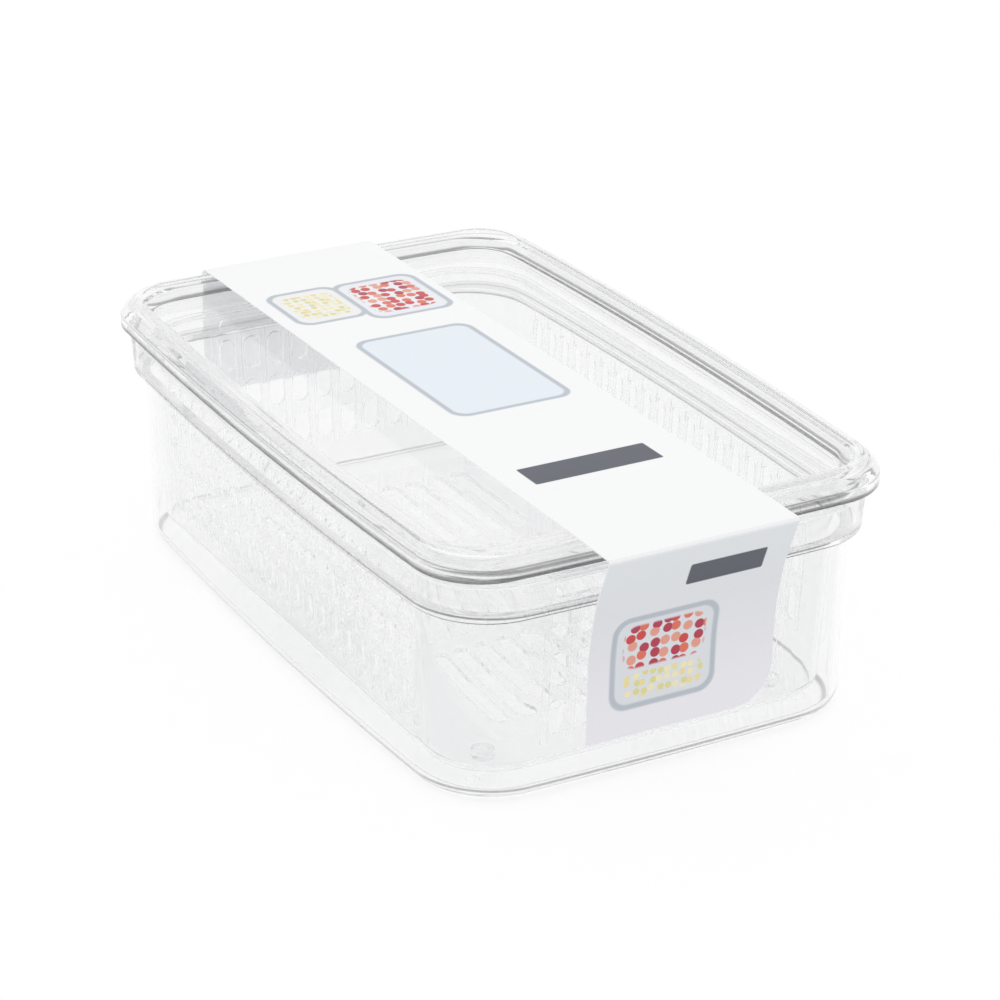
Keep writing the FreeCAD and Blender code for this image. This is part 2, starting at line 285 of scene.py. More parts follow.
def eased(profile, steps):
    """Section line of inset and height with its corners rounded; each corner gives its radius."""
    line = [profile[0][:2]]
    for before, here, after in zip(profile, profile[1:], profile[2:]):
        radius = here[2] if len(here) > 2 else 0
        point = Vector(here[:2])
        back = Vector(before[:2]) - point
        ahead = Vector(after[:2]) - point
        if radius == 0:
            line.append(tuple(point))
            continue
        back.normalize()
        ahead.normalize()
        half = back.angle(ahead) / 2
        reach = radius / math.tan(half)
        middle = point + (back + ahead).normalized() * (radius / math.sin(half))
        first = point + back * reach - middle
        last = point + ahead * reach - middle
        sweep = first.angle_signed(last)
        for step in range(steps + 1):
            turn = -sweep * step / steps
            spun = Matrix.Rotation(turn, 2) @ first
            line.append(tuple(middle + spun))
    line.append(profile[-1][:2])
    return line


# Meshes

# Steps in the rounded corners of the sections
BASE_STEPS = 18
BAND_STEPS = 14
LID_STEPS = 16
SKIRT_STEPS = 12
BASKET_STEPS = 14
FLANGE_STEPS = 8
# Edges that turn by more than this many degrees look sharp
SHARP = 38.0
SHARP_THIN = 30.0
WELD = 0.004
FOOT_STEPS = 20
FOOT_EASE = 0.4
FOOT_EASE_MIDDLE = 0.3


def finished(name, points, faces, material, body, node, sharp=SHARP):
    """Closed, outward-facing object from points in millimetres, riding on its body."""
    mesh = bpy.data.meshes.new(name)
    mesh.from_pydata([tuple(c * MM for c in point) for point in points], [], faces)
    sheet = bmesh.new()
    sheet.from_mesh(mesh)
    bmesh.ops.remove_doubles(sheet, verts=sheet.verts, dist=WELD * MM)
    bmesh.ops.recalc_face_normals(sheet, faces=sheet.faces)
    open_edges = sum(1 for edge in sheet.edges if not edge.is_manifold)
    print(name, "faces", len(sheet.faces), "open edges", open_edges)
    sheet.to_mesh(mesh)
    sheet.free()
    mesh.polygons.foreach_set("use_smooth", [True] * len(mesh.polygons))
    mesh.set_sharp_from_angle(angle=math.radians(sharp))
    mesh.materials.clear()
    mesh.materials.append(material)
    piece = bpy.data.objects.new(name, mesh)
    bpy.context.scene.collection.objects.link(piece)
    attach(piece, body)
    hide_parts(node)
    return piece


def lofted(rings):
    """Points and faces of a skin through rings of equal length, closed by flat ends."""
    size = len(rings[0])
    points = [point for ring in rings for point in ring]
    faces = []
    for level in range(len(rings) - 1):
        for step in range(size):
            a = level * size + step
            b = level * size + (step + 1) % size
            faces.append((a, b, b + size, a + size))
    faces.append(tuple(range(size)))
    faces.append(tuple(range(len(points) - size, len(points))))
    return points, faces


def joined(*parts):
    """Several point and face lists as one."""
    points, faces = [], []
    for part_points, part_faces in parts:
        start = len(points)
        points.extend(part_points)
        faces.extend(tuple(start + index for index in face) for face in part_faces)
    return points, faces


def button(x, y, radius, low, high):
    """Round foot with an eased lower edge."""
    ease = min(radius, high - low) * FOOT_EASE
    middle = ease * FOOT_EASE_MIDDLE
    levels = [(radius - ease, low), (radius - middle, low + middle), (radius, low + ease), (radius, high)]
    turns = [2 * math.pi * step / FOOT_STEPS for step in range(FOOT_STEPS)]
    rings = []
    for reach, z in levels:
        rings.append([(x + reach * math.cos(turn), y + reach * math.sin(turn), z) for turn in turns])
    return lofted(rings)


def four_buttons(inset, radius, low, high):
    """Four round feet, one near each corner."""
    x = WIDTH / 2 - inset
    y = LENGTH / 2 - inset
    return [button(sx * x, sy * y, radius, low, high) for sx in (-1, 1) for sy in (-1, 1)]


# Slots repeat, so a node tree lays one slotted cell out as a flat panel

SLOT_END_STEPS = 6
CELL_WELD = 0.01


def slot_rim(width, length):
    """Corners of a round-ended slot about its centre, from the right end of its top."""
    radius = width / 2
    straight = length / 2 - radius
    rim = []
    for end in (1, -1):
        for step in range(SLOT_END_STEPS + 1):
            turn = math.pi * step / SLOT_END_STEPS
            rim.append((end * radius * math.cos(turn), end * (straight + radius * math.sin(turn))))
    return rim


def slot_cell(name, width, height, slot_width, slot_length):
    """Flat cell with one slot: its outer face at depth 0, its inner face at depth 1."""
    rim = slot_rim(slot_width, slot_length)
    count = len(rim)
    x, y = width / 2, height / 2
    box = [(x, y), (-x, y), (-x, -y), (x, -y)]
    points = []
    for depth in (0, 1):
        points.extend((u, v, depth) for u, v in rim)
        points.extend((u, v, depth) for u, v in box)
    half = count // 2
    faces = []
    layer = count + len(box)
    for start in (0, layer):
        corner = start + count
        top = [corner, corner + 1] + [start + i for i in range(half - 1, -1, -1)]
        bottom = [corner + 2, corner + 3] + [start + i for i in range(count - 1, half - 1, -1)]
        left = [corner + 1, corner + 2, start + half, start + half - 1]
        right = [corner + 3, corner, start, corner - 1]
        faces.extend([top, bottom, left, right])
    for step in range(count):
        after = (step + 1) % count
        faces.append([step, after, layer + after, layer + step])
    mesh = bpy.data.meshes.new(name)
    mesh.from_pydata(points, [], faces)
    return bpy.data.objects.new(name, mesh)


def slot_panel_tree(material):
    """Node tree that repeats a cell on a grid of columns and rows."""
    tree = bpy.data.node_groups.new("slot panel", "GeometryNodeTree")
    face = tree.interface
    face.new_socket("Geometry", in_out="INPUT", socket_type="NodeSocketGeometry")
    sockets = {}
    for label, kind in (("Cell", "NodeSocketObject"),
                        ("Columns", "NodeSocketInt"), ("Rows", "NodeSocketInt"),
                        ("Field width", "NodeSocketFloat"), ("Field height", "NodeSocketFloat")):
        sockets[label] = face.new_socket(label, in_out="INPUT", socket_type=kind).identifier
    face.new_socket("Geometry", in_out="OUTPUT", socket_type="NodeSocketGeometry")
    nodes, links = tree.nodes, tree.links
    given = nodes.new("NodeGroupInput")
    grid = nodes.new("GeometryNodeMeshGrid")
    cell = nodes.new("GeometryNodeObjectInfo")
    place = nodes.new("GeometryNodeInstanceOnPoints")
    realize = nodes.new("GeometryNodeRealizeInstances")
    weld = nodes.new("GeometryNodeMergeByDistance")
    paint = nodes.new("GeometryNodeSetMaterial")
    result = nodes.new("NodeGroupOutput")
    weld.inputs["Distance"].default_value = CELL_WELD
    paint.inputs["Material"].default_value = material
    links.new(given.outputs["Field width"], grid.inputs["Size X"])
    links.new(given.outputs["Field height"], grid.inputs["Size Y"])
    links.new(given.outputs["Columns"], grid.inputs["Vertices X"])
    links.new(given.outputs["Rows"], grid.inputs["Vertices Y"])
    links.new(given.outputs["Cell"], cell.inputs["Object"])
    links.new(grid.outputs["Mesh"], place.inputs["Points"])
    links.new(cell.outputs["Geometry"], place.inputs["Instance"])
    links.new(place.outputs["Instances"], realize.inputs["Geometry"])
    links.new(realize.outputs["Geometry"], weld.inputs["Geometry"])
    links.new(weld.outputs["Geometry"], paint.inputs["Geometry"])
    links.new(paint.outputs["Geometry"], result.inputs["Geometry"])
    return tree, sockets


def slot_panel(tree, sockets, cell, columns, rows, pitch, row_pitch):
    """Points and faces of a flat panel of cells, as u, v and depth."""
    carrier = bpy.data.objects.new("panel carrier", bpy.data.meshes.new("panel carrier"))
    bpy.context.scene.collection.objects.link(carrier)
    layout = carrier.modifiers.new("slot panel", "NODES")
    layout.node_group = tree
    layout[sockets["Cell"]] = cell
    layout[sockets["Columns"]] = columns
    layout[sockets["Rows"]] = rows
    layout[sockets["Field width"]] = (columns - 1) * pitch
    layout[sockets["Field height"]] = (rows - 1) * row_pitch
    graph = bpy.context.evaluated_depsgraph_get()
    plain = bpy.data.meshes.new_from_object(carrier.evaluated_get(graph))
    points = [tuple(vertex.co) for vertex in plain.vertices]
    faces = [tuple(polygon.vertices) for polygon in plain.polygons]
    bpy.data.objects.remove(carrier)
    bpy.data.meshes.remove(plain)
    return points, faces


# Materials

PLASTIC_IOR = 1.5
POLISH_SCALE = 30.0
TINT_SCALE = 9.0
CARD_GRAIN_SCALE = 60.0
SMOOTH_ROUGH = 0.03
BASKET_ROUGH = 0.05
# A mix of colours has its two colours and its result at these places
MIX_FIRST, MIX_SECOND, MIX_RESULT = 6, 7, 2
CLEAR = ((0.970, 0.971, 0.972), (0.960, 0.961, 0.963))
BASKET_CLEAR = ((0.972, 0.973, 0.974), (0.962, 0.963, 0.965))
# Painted shade along the moulded edges, for the dark lines that light bent in the plastic draws there:
# height in millimetres and grey
TUB_PAINTED_EDGE_SHADE = ((1.0, 1.0), (1.15, 0.25), (2.2, 0.25), (2.6, 1.0), (75.25, 1.0), (75.3, 0.12), (75.9, 0.12),
             (76.1, 1.0), (77.9, 1.0), (78.0, 0.5), (78.45, 0.5), (78.6, 1.0))
LID_PAINTED_EDGE_SHADE = ((93.5, 1.0), (93.7, 0.3), (95.0, 0.3), (95.3, 1.0))
BASKET_PAINTED_EDGE_SHADE = ((86.2, 1.0), (86.4, 0.9), (87.2, 0.9), (87.4, 1.0))


def shader_sheet(name):
    """New material with its tree and its main shader."""
    material = bpy.data.materials.new(name)
    material.use_nodes = True
    nodes = material.node_tree.nodes
    return material, material.node_tree, nodes["Principled BSDF"]


def cloudy(tree, scale, low, high):
    """Soft noise between two numbers over the piece."""
    place = tree.nodes.new("ShaderNodeTexCoord")
    noise = tree.nodes.new("ShaderNodeTexNoise")
    noise.inputs["Scale"].default_value = scale
    noise.inputs["Detail"].default_value = 2.0
    spread = tree.nodes.new("ShaderNodeMapRange")
    spread.inputs["To Min"].default_value = low
    spread.inputs["To Max"].default_value = high
    tree.links.new(place.outputs["Object"], noise.inputs["Vector"])
    tree.links.new(noise.outputs["Fac"], spread.inputs["Value"])
    return spread.outputs["Result"]


def painted_edge_shade(tree, stops):
    """Grey by height: painted shade along the moulded edges, for the dark lines that light bent in the
    plastic draws there.
    """
    place = tree.nodes.new("ShaderNodeTexCoord")
    split = tree.nodes.new("ShaderNodeSeparateXYZ")
    level = tree.nodes.new("ShaderNodeMapRange")
    level.inputs["From Max"].default_value = HEIGHT * MM
    ramp = tree.nodes.new("ShaderNodeValToRGB")
    while len(ramp.color_ramp.elements) < len(stops):
        ramp.color_ramp.elements.new(0.5)
    for element, (height, grey) in zip(ramp.color_ramp.elements, stops):
        element.position = height / HEIGHT
        element.color = (grey, grey, grey, 1)
    tree.links.new(place.outputs["Object"], split.inputs["Vector"])
    tree.links.new(split.outputs["Z"], level.inputs["Value"])
    tree.links.new(level.outputs["Result"], ramp.inputs["Fac"])
    return ramp.outputs["Color"]


def clear_plastic(name, tints, most_rough, edges):
    """Clear moulded plastic with faint unevenness in its polish and tint, and painted shade along its
    moulded edges.
    """
    material, tree, shader = shader_sheet(name)
    shader.inputs["Transmission Weight"].default_value = 1.0
    shader.inputs["IOR"].default_value = PLASTIC_IOR
    tree.links.new(cloudy(tree, POLISH_SCALE, 0.0, most_rough), shader.inputs["Roughness"])
    ramp = tree.nodes.new("ShaderNodeValToRGB")
    for element, tint in zip(ramp.color_ramp.elements, tints):
        element.color = (*tint, 1)
    tree.links.new(cloudy(tree, TINT_SCALE, 0.0, 1.0), ramp.inputs["Fac"])
    # Painted shade: the tint is multiplied by greys by height that darken the moulded edges
    tint_with_painted_shade = tree.nodes.new("ShaderNodeMix")
    tint_with_painted_shade.data_type = "RGBA"
    tint_with_painted_shade.blend_type = "MULTIPLY"
    tint_with_painted_shade.inputs["Factor"].default_value = 1.0
    tree.links.new(ramp.outputs["Color"], tint_with_painted_shade.inputs[MIX_FIRST])
    tree.links.new(painted_edge_shade(tree, edges), tint_with_painted_shade.inputs[MIX_SECOND])
    tree.links.new(tint_with_painted_shade.outputs[MIX_RESULT], shader.inputs["Base Color"])
    return material


tub_plastic = clear_plastic("clear tub plastic", CLEAR, SMOOTH_ROUGH, TUB_PAINTED_EDGE_SHADE)
basket_plastic = clear_plastic("clear basket plastic", BASKET_CLEAR, BASKET_ROUGH, BASKET_PAINTED_EDGE_SHADE)
lid_plastic = clear_plastic("clear lid plastic", CLEAR, SMOOTH_ROUGH, LID_PAINTED_EDGE_SHADE)


# Tub and lid

def make_tub():
    """Stepped wall with a rounded base, a rim and four low feet."""
    wall = family(WALL_INSET_TOP, WALL_CORNER)
    band = family(BAND_INSET_RIM, BAND_CORNER)
    ledge_top = LEDGE_HEIGHT + TUB_WALL
    outer_low = eased([
        (BASE_MIDDLE_INSET, FOOT_HEIGHT),
        (WALL_INSET_BASE, FOOT_HEIGHT, BASE_FILLET),
        (WALL_INSET_TOP, LEDGE_HEIGHT, LEDGE_ROOT_FILLET),
        (LEDGE_SEAM[0], LEDGE_HEIGHT)], BASE_STEPS)
    upper = eased([
        (LEDGE_SEAM[1], LEDGE_HEIGHT),
        (BAND_INSET_BASE, LEDGE_HEIGHT, LEDGE_FILLET),
        (BAND_INSET_RIM, RIM_HEIGHT, RIM_EASE),
        (BAND_INSET_RIM + TUB_WALL, RIM_HEIGHT, RIM_EASE),
        (BAND_INSET_BASE + TUB_WALL, ledge_top, LEDGE_ROOT_FILLET),
        (LEDGE_SEAM_INSIDE[0], ledge_top)], BAND_STEPS)
    inner_low = eased([
        (LEDGE_SEAM_INSIDE[1], ledge_top),
        (WALL_INSET_TOP + TUB_WALL, ledge_top, LEDGE_INNER_FILLET),
        (WALL_INSET_BASE + TUB_WALL, TUB_FLOOR_TOP, BASE_FILLET - TUB_WALL),
        (BASE_MIDDLE_INSET, TUB_FLOOR_TOP)], BASE_STEPS)
    rings = [plain_ring(wall, inset, z) for inset, z in outer_low]
    rings += [plain_ring(band, inset, z) for inset, z in upper]
    rings += [plain_ring(wall, inset, z) for inset, z in inner_low]
    feet = four_buttons(FOOT_INSET, FOOT_RADIUS, 0, FOOT_HEIGHT + SINK)
    points, faces = joined(lofted(rings), *feet)
    return finished("clear_tub", points, faces, tub_plastic, "tub", "tub")


def make_lid():
    """Hollow lip and raised frame round a sunken panel, with a skirt inside the tub's rim."""
    edge = family(0, LID_CORNER)
    rim = family(BAND_INSET_RIM, BAND_CORNER)
    panel_under = PANEL_TOP - LID_WALL
    skirt_inner = SKIRT_INSET + SKIRT_WALL
    above = eased([
        (PANEL_MIDDLE_INSET, PANEL_TOP),
        (PANEL_INSET, PANEL_TOP, PANEL_FILLET),
        (CREST_INSET_INNER, HEIGHT, CREST_FILLET_INNER),
        (FRAME_INSET_CREST, HEIGHT, CREST_FILLET),
        (SHOULDER_INSET, SHOULDER_TOP, SHOULDER_FILLET),
        (0, LIP_TOP, LIP_FILLET),
        (0, RIM_HEIGHT, LIP_FOOT_FILLETS[0]),
        (LIP_WALL, RIM_HEIGHT, LIP_FOOT_FILLETS[1]),
        (LIP_WALL, LIP_TOP - HOLLOW_DROP, HOLLOW_FILLETS[0]),
        (SHOULDER_INSET + HOLLOW_OFFSET[0], SHOULDER_TOP - HOLLOW_OFFSET[1], HOLLOW_FILLETS[1]),
        (ROOF_SEAM[0][0], ROOF - ROOF_SEAM[0][1])], LID_STEPS)
    below = eased([
        (ROOF_SEAM[1][0], ROOF - ROOF_SEAM[1][1]),
        (SKIRT_INSET, ROOF, ROOF_FILLETS[0]),
        (SKIRT_INSET, SKIRT_BOTTOM, SKIRT_EASE),
        (skirt_inner, SKIRT_BOTTOM, SKIRT_EASE),
        (skirt_inner, ROOF + ROOF_INNER_RISE, ROOF_FILLETS[1]),
        (PANEL_INSET - PANEL_UNDER_OFFSET, panel_under, PANEL_UNDER_FILLET),
        (PANEL_MIDDLE_INSET, panel_under)], SKIRT_STEPS)
    rings = [plain_ring(edge, inset, z) for inset, z in above]
    rings += [plain_ring(rim, inset, z) for inset, z in below]
    points, faces = lofted(rings)
    return finished("clear_lid", points, faces, lid_plastic, "lid", "lid")


# Basket

BASKET_LEAN = BASKET_TAPER / (BASKET_RIM - BASKET_BASE)
FIELD_LOW = LOWEST_ROW - ROW_PITCH / 2
FIELD_HIGH = FIELD_LOW + ROWS * ROW_PITCH


def basket_inset(z):
    """Inset of the basket's outer face at a height."""
    return BASKET_LEAN * (BASKET_RIM - z)


def rib_places(columns):
    """Places of the ribs along a wall with so many columns of slots."""
    return [(index - columns / 2) * SLOT_PITCH for index in range(columns + 1)]


def basket_stations(kin):
    """Stops round the basket: wall stops with the rib's foot and crest, and corner stops."""
    half = RIB_WIDTH / 2
    stations = []
    for wall in WALLS:
        columns = LONG_COLUMNS if wall in LONG_WALLS else SHORT_COLUMNS
        places = rib_places(columns)
        for place in places:
            stations.append((wall, place - half, 0, False))
            stations.append((wall, place - half, RIB_DEPTH, False))
            stations.append((wall, place + half, RIB_DEPTH, False))
            stations.append((wall, place + half, 0, place != places[-1]))
        for turn in corner_turns(kin, wall):
            stations.append(("corner " + wall, turn, 0, False))
    return stations


def basket_ring(kin, stations, inset, z, ribbed):
    """Ring of the basket at a height, with or without its ribs."""
    ring = []
    for wall, place, rib, _ in stations:
        grown = inset - (rib if ribbed else 0)
        if wall.startswith("corner "):
            x, y = corner_point(kin, CORNERS[wall.split()[1]], place, grown)
        else:
            x, y = wall_point(kin, wall, place, grown)
        ring.append((x, y, z))
    return ring


def finger_window(kin, wall, depth):
    """Wall strip round the finger hole on one face of the wall; also gives the hole's rim."""
    half = RIB_WIDTH / 2
    places = sorted(place + side for place in rib_places(SHORT_COLUMNS) for side in (-half, half))
    radius = HOLE_HEIGHT / 2
    straight = HOLE_LENGTH / 2 - radius
    inner = [u for u in places if abs(u) < straight]
    turns = [math.pi * (0.5 - step / HOLE_END_STEPS) for step in range(HOLE_END_STEPS + 1)]
    right = [(straight + radius * math.cos(t), HOLE_CENTRE + radius * math.sin(t)) for t in turns]
    left = [(-u, 2 * HOLE_CENTRE - z) for u, z in right]
    flat = []
    polygons = []

    def put(u, z):
        flat.append((u, z))
        return len(flat) - 1

    for edge_z, hole_z in ((FIELD_HIGH, HOLE_CENTRE - radius), (HOLE_ZONE_TOP, HOLE_CENTRE + radius)):
        for first, second in zip(inner, inner[1:]):
            polygons.append([put(first, edge_z), put(second, edge_z),
                             put(second, hole_z), put(first, hole_z)])
    for side, cap in ((1, right), (-1, left)):
        outer = [u for u in places if u * side >= max(inner)]
        outer.sort(key=abs)
        ring = [put(u, FIELD_HIGH) for u in outer]
        ring += [put(u, HOLE_ZONE_TOP) for u in reversed(outer)]
        ring.append(put(side * max(inner), HOLE_CENTRE + radius))
        arc = cap if side == 1 else cap[::-1]
        ring += [put(u, z) for u, z in arc]
        ring.append(put(side * max(inner), HOLE_CENTRE - radius))
        polygons.append(ring)
    rim = [(u, HOLE_CENTRE + radius) for u in inner] + right
    rim += [(u, HOLE_CENTRE - radius) for u in reversed(inner)] + left

    def raised(u, z):
        x, y = wall_point(kin, wall, u, basket_inset(z) + depth)
        return (x, y, z)

    return ([raised(u, z) for u, z in flat], polygons), [raised(u, z) for u, z in rim]


def floor_ring(ring, panel_width, panel_length, z):
    """Flat floor between the slotted field and the ring, as two polygons."""
    columns = [(index - FLOOR_COLUMNS / 2) * SLOT_PITCH for index in range(FLOOR_COLUMNS + 1)]
    rows = [(index - FLOOR_ROWS / 2) * FLOOR_ROW_PITCH for index in range(FLOOR_ROWS + 1)]
    half_y = panel_length / 2
    half_x = panel_width / 2
    spot = SLOT_PITCH / 2
    front = [(x, -half_y, z) for x in columns if x >= spot]
    right = [(half_x, y, z) for y in rows[1:-1]]
    back = [(x, half_y, z) for x in reversed(columns) if x >= spot]
    inside_right = front + right + back
    back_left = [(x, half_y, z) for x in reversed(columns) if x <= spot]
    left = [(-half_x, y, z) for y in reversed(rows[1:-1])]
    front_left = [(x, -half_y, z) for x in columns if x <= spot]
    inside_left = back_left + left + front_left

    def nearest(sign):
        def away(index):
            x, y, _ = ring[index]
            return abs(x - spot) + (0 if y * sign > 0 else LENGTH)
        return min(range(len(ring)), key=away)

    start, end = nearest(-1), nearest(1)
    size = len(ring)

    def run(first, last):
        steps = (last - first) % size
        return [ring[(first + step) % size] for step in range(steps + 1)]

    points, faces = [], []
    for outside, inside in ((run(start, end), inside_right), (run(end, start), inside_left)):
        loop = outside + inside[::-1]
        faces.append(tuple(range(len(points), len(points) + len(loop))))
        points.extend(loop)
    return points, faces


def make_basket():
    """Tapered strainer with slots between ribs, finger holes, a slotted floor and a turned-out rim."""
    kin = flat_family(BASKET_HALF_X, BASKET_HALF_Y, BASKET_CORNER)
    stations = basket_stations(kin)
    outer_foot = eased([
        (BASKET_MIDDLE_INSET, BASKET_BASE),
        (BASKET_TAPER, BASKET_BASE, BASKET_FILLET),
        (basket_inset(FIELD_LOW), FIELD_LOW)], BASKET_STEPS)
    inner_foot = eased([
        (basket_inset(FIELD_LOW) + BASKET_WALL, FIELD_LOW),
        (BASKET_TAPER + BASKET_WALL, BASKET_FLOOR_TOP, BASKET_FILLET - BASKET_WALL),
        (BASKET_MIDDLE_INSET, BASKET_FLOOR_TOP)], BASKET_STEPS)
    row_edges = [FIELD_LOW + row * ROW_PITCH for row in range(ROWS + 1)]
    levels = [(inset, z, False, "") for inset, z in outer_foot]
    levels += [(basket_inset(z), z, True, "" if z == row_edges[-1] else "slots") for z in row_edges]
    levels.append((basket_inset(FIELD_HIGH), FIELD_HIGH, False, "hole"))
    levels.append((basket_inset(HOLE_ZONE_TOP), HOLE_ZONE_TOP, False, ""))
    flange_low = BASKET_RIM - RIM_FLANGE_DEPTH
    flange = eased([
        (basket_inset(HOLE_ZONE_TOP), HOLE_ZONE_TOP),
        (basket_inset(flange_low), flange_low, FLANGE_EASE),
        (-RIM_FLANGE, flange_low, FLANGE_EASE),
        (-RIM_FLANGE, BASKET_RIM, FLANGE_EASE),
        (BASKET_WALL, BASKET_RIM, FLANGE_EASE),
        (basket_inset(HOLE_ZONE_TOP) + BASKET_WALL, HOLE_ZONE_TOP)], FLANGE_STEPS)
    levels += [(inset, z, False, "") for inset, z in flange[1:-1]]
    levels.append((basket_inset(HOLE_ZONE_TOP) + BASKET_WALL, HOLE_ZONE_TOP, False, "hole"))
    levels.append((basket_inset(FIELD_HIGH) + BASKET_WALL, FIELD_HIGH, False, "slots"))
    levels += [(basket_inset(z) + BASKET_WALL, z, False, "slots") for z in reversed(row_edges[1:-1])]
    levels += [(inset, z, False, "") for inset, z in inner_foot]
    rings = [basket_ring(kin, stations, inset, z, ribbed) for inset, z, ribbed, _ in levels]

    size = len(stations)
    points = [point for ring in rings for point in ring]
    faces = []
    last_short_rib = rib_places(SHORT_COLUMNS)[-1] + RIB_WIDTH / 2
    for level in range(len(rings) - 1):
        opening = levels[level][3]
        for step in range(size):
            wall, place, _, before_slot = stations[step]
            if opening == "slots" and before_slot:
                continue
            if opening == "hole" and wall in ("front", "back") and place < last_short_rib - CELL_WELD:
                continue
            a = level * size + step
            b = level * size + (step + 1) % size
            faces.append((a, b, b + size, a + size))

    parts = [(points, faces)]
    tree, sockets = slot_panel_tree(basket_plastic)
    wall_cell = slot_cell("wall slot", SLOT_PITCH - RIB_WIDTH, ROW_PITCH, SLOT_WIDTH, SLOT_LENGTH)
    middle = (FIELD_LOW + FIELD_HIGH) / 2
    for wall in WALLS:
        columns = LONG_COLUMNS if wall in LONG_WALLS else SHORT_COLUMNS
        flat, polygons = slot_panel(tree, sockets, wall_cell, columns, ROWS, SLOT_PITCH, ROW_PITCH)
        bent = []
        for u, v, depth in flat:
            z = middle + v
            x, y = wall_point(kin, wall, u, basket_inset(z) + depth * BASKET_WALL)
            bent.append((x, y, z))
        parts.append((bent, polygons))
    for wall in ("front", "back"):
        outer_strip, outer_rim = finger_window(kin, wall, 0)
        inner_strip, inner_rim = finger_window(kin, wall, BASKET_WALL)
        count = len(outer_rim)
        tube = [(i, (i + 1) % count, count + (i + 1) % count, count + i) for i in range(count)]
        parts.extend([outer_strip, inner_strip, (outer_rim + inner_rim, tube)])
    floor_cell = slot_cell("floor slot", SLOT_PITCH, FLOOR_ROW_PITCH, SLOT_WIDTH, FLOOR_SLOT_LENGTH)
    flat, polygons = slot_panel(tree, sockets, floor_cell, FLOOR_COLUMNS, FLOOR_ROWS,
                                SLOT_PITCH, FLOOR_ROW_PITCH)
    thickness = BASKET_FLOOR_TOP - BASKET_BASE
    parts.append(([(u, v, BASKET_BASE + depth * thickness) for u, v, depth in flat], polygons))
    field_width = FLOOR_COLUMNS * SLOT_PITCH
    field_length = FLOOR_ROWS * FLOOR_ROW_PITCH
    parts.append(floor_ring(rings[0], field_width, field_length, BASKET_BASE))
    parts.append(floor_ring(rings[-1], field_width, field_length, BASKET_FLOOR_TOP))
    parts.extend(four_buttons(BASKET_FOOT_INSET, BASKET_FOOT_RADIUS,
                              TUB_FLOOR_TOP + BASKET_FOOT_GAP, BASKET_BASE + SINK))
    points, faces = joined(*parts)
    for cell in (wall_cell, floor_cell):
        bpy.data.objects.remove(cell)
    return finished("clear_strainer_basket", points, faces, basket_plastic,
                    "strainer_basket", "strainer_basket", SHARP_THIN)


# Sleeve

def sleeve_centre(y):
    """Middle of the strip, which lies slightly askew."""
    share = (y + LENGTH / 2) / LENGTH
    return SLEEVE_SHIFT_FRONT + (SLEEVE_SHIFT_BACK - SLEEVE_SHIFT_FRONT) * share


def through(points, steps):
    """Smooth line through points."""
    line = []
    padded = [points[0]] + points + [points[-1]]
    for a, b, c, d in zip(padded, padded[1:], padded[2:], padded[3:]):
        for step in range(steps):
            t = step / steps
            line.append(tuple(0.5 * (2 * q + (r - p) * t + (2 * p - 5 * q + 4 * r - s) * t * t
                                     + (3 * q - p - 3 * r + s) * t ** 3) for p, q, r, s in zip(a, b, c, d)))
    line.append(points[-1])
    return line


def sleeve_path():
    """Inner line of the card from the front flap's foot over the lid to the back flap's foot."""
    half = LENGTH / 2
    flap = through([(-half - past, z) for past, z in FRONT_FLAP], FLAP_STEPS)
    fold = [(-half - FOLD[0], FOLD[1])]
    start, run, drop = FRONT_STRIP
    front_strip = [(-half + start - run * share, STRIP_HEIGHT - drop * share)
                   for share in FRONT_STRIP_SHARES]
    strip = [(y, STRIP_HEIGHT) for y in STRIP_STOPS]
    over = through(list(BACK_BEND), BEND_STEPS)
    hang = [(BACK_FLAP_PLACE, z) for z in BACK_FLAP_STOPS]
    return flap + fold + front_strip + strip + over + hang


# A spot of the print's plan that stays plain card
PLAIN_SPOT = (0.0, 9.0)


